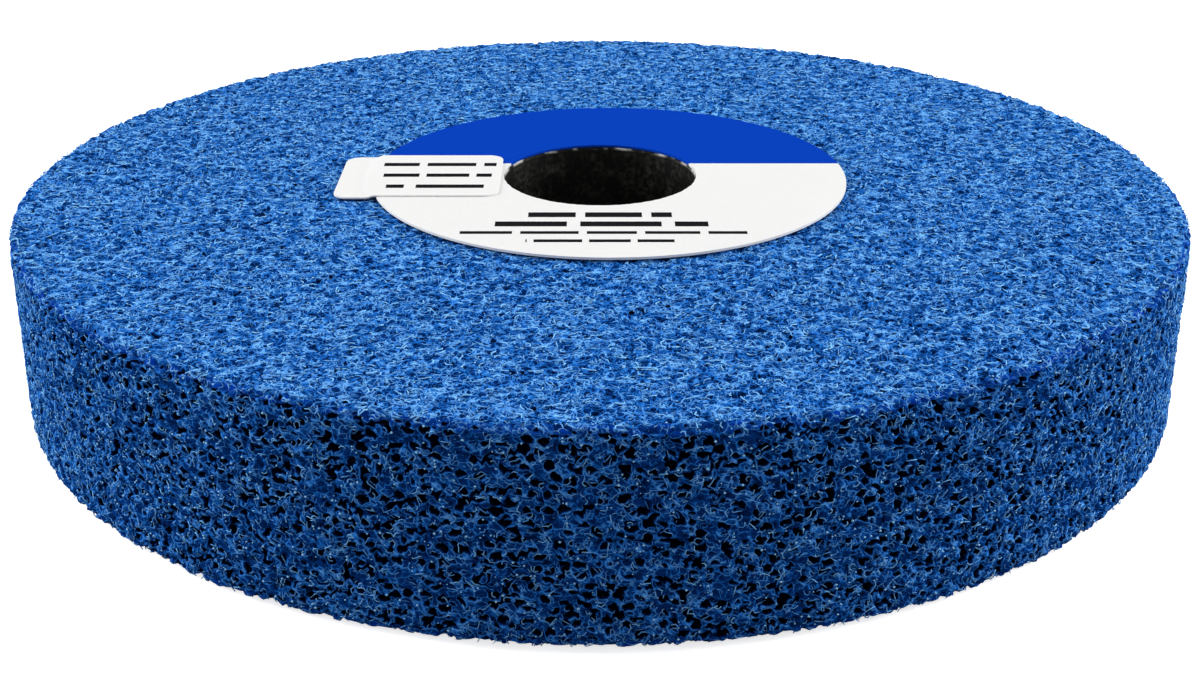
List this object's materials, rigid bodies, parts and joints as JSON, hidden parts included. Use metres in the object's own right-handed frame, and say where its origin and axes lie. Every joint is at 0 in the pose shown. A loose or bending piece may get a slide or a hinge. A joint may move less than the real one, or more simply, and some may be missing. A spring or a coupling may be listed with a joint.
{
  "type": "deburring wheel",
  "caption": "Blue non-woven abrasive wheel for a bench grinder: an open web of bonded fibre round a dark core tube with an arbor bore, a round paper label and a small sticker.",
  "frame": {"origin": "centre of the wheel's lower face, on its axis", "axes": "+Z along the wheel's axis towards the labelled face, -X towards the small sticker"},
  "size_m": [0.1523, 0.1523, 0.0259],
  "materials": {
    "abrasive_web": "open web of resin-bonded abrasive fibre, with glossy resin on its ridges",
    "core_tube": "satin black with faint scuffs along the bore",
    "round_label": "coated paper, half of it printed blue",
    "lot_sticker": "plain white coated paper"
  },
  "bodies": {
    "root": {"abrasive_web": "abrasive_web", "core_tube": "core_tube", "round_label": "round_label", "lot_sticker": "lot_sticker"}
  },
  "joints": []
}
